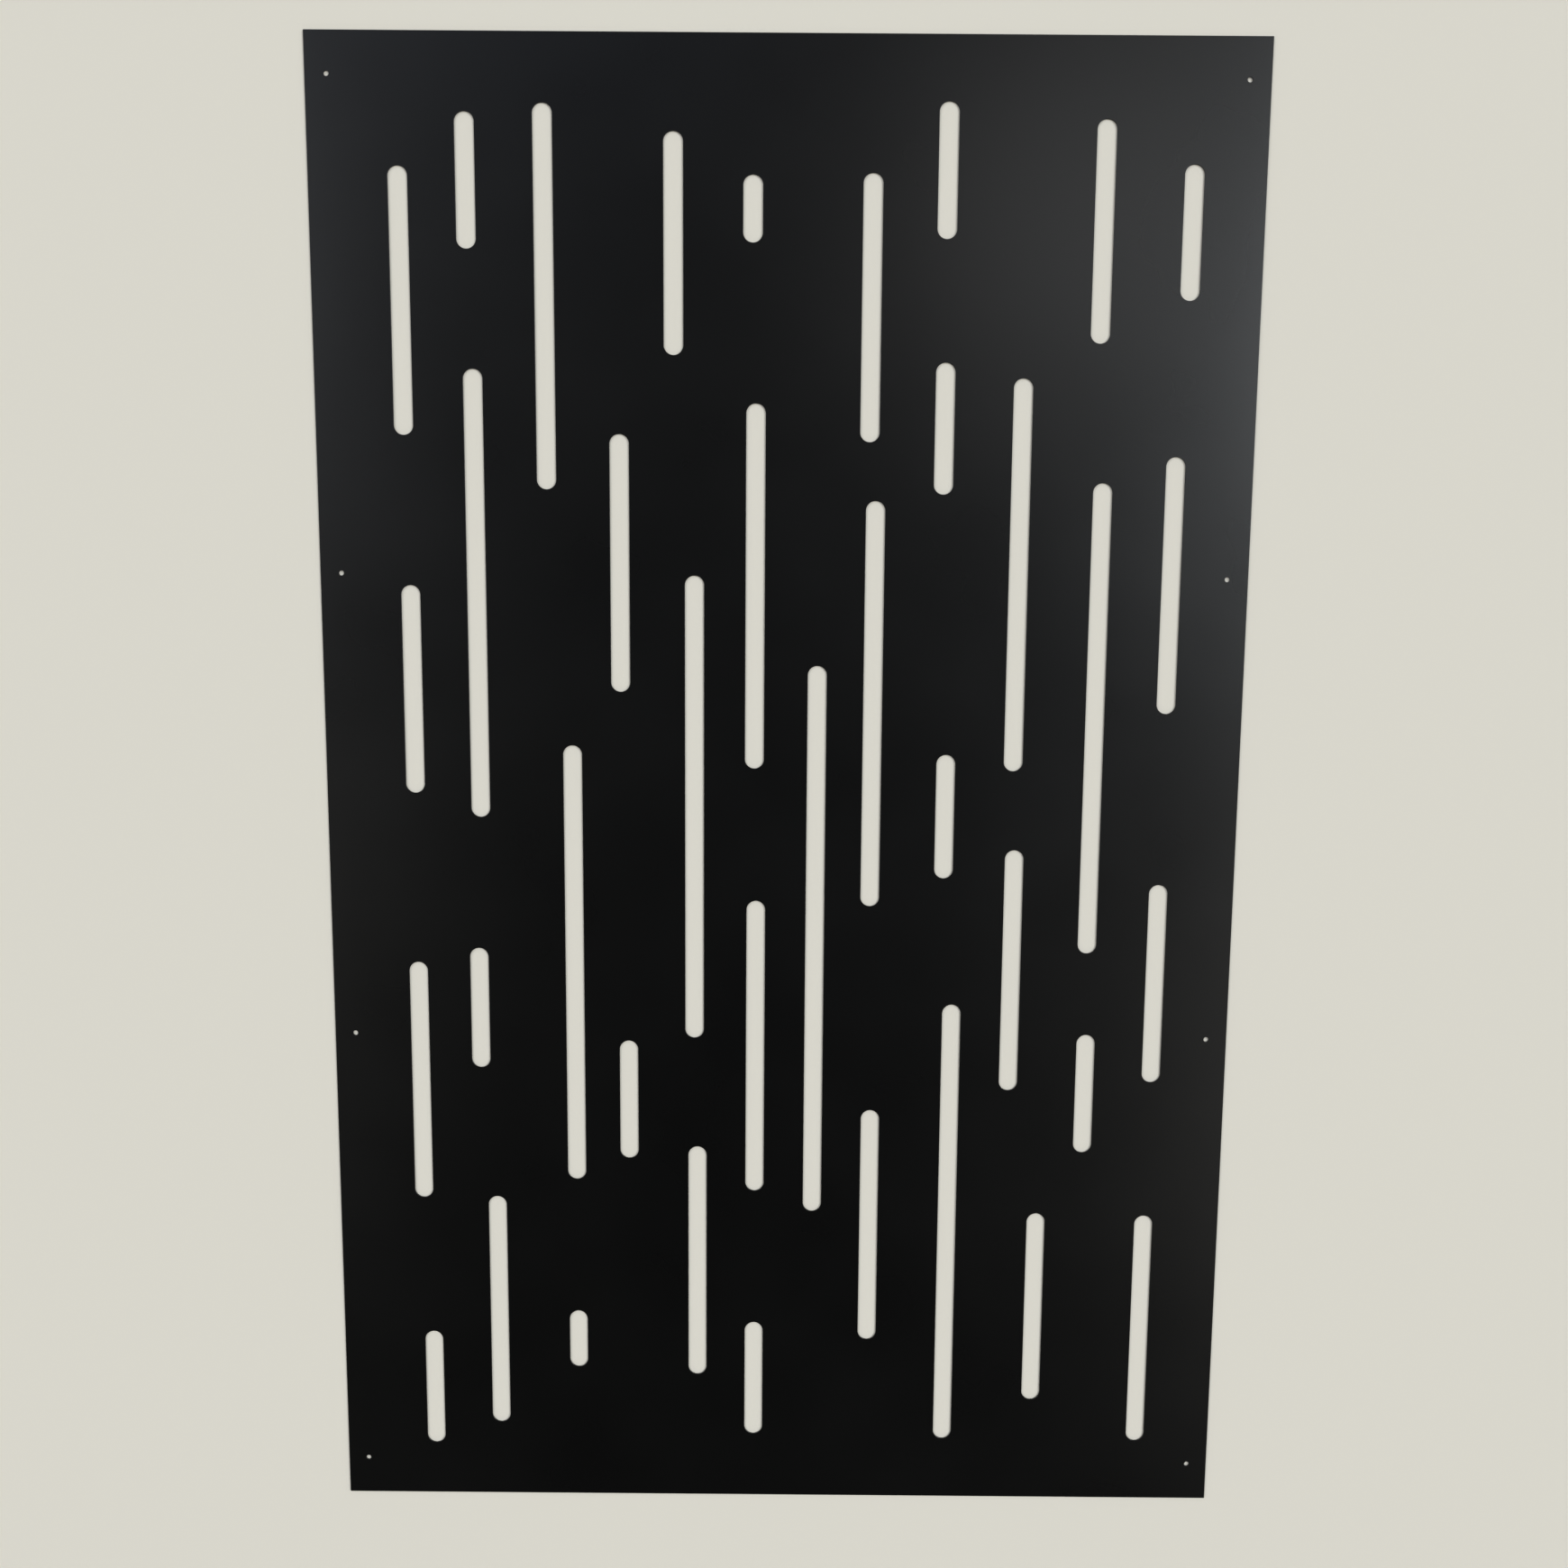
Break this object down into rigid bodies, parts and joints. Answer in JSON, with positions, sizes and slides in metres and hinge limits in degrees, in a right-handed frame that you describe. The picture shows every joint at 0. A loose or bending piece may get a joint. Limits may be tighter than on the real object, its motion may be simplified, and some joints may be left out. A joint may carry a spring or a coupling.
{
  "type": "perforated metal sheet",
  "caption": "Flat rectangular metal sheet with a black powder coat, staggered lengthwise round-ended slots, and small fixing holes down both long edges, for a screen or infill panel.",
  "frame": {"origin": "centre of the back face, on which the sheet lies", "axes": "+X across the width, to the right of someone facing the front; +Y along the length, to the top edge; +Z out of the front face"},
  "size_m": [1.22, 1.97, 0.002],
  "materials": {
    "black_powder_coat": "matte"
  },
  "bodies": {
    "root": {"perforated_sheet": "black_powder_coat"}
  },
  "joints": []
}
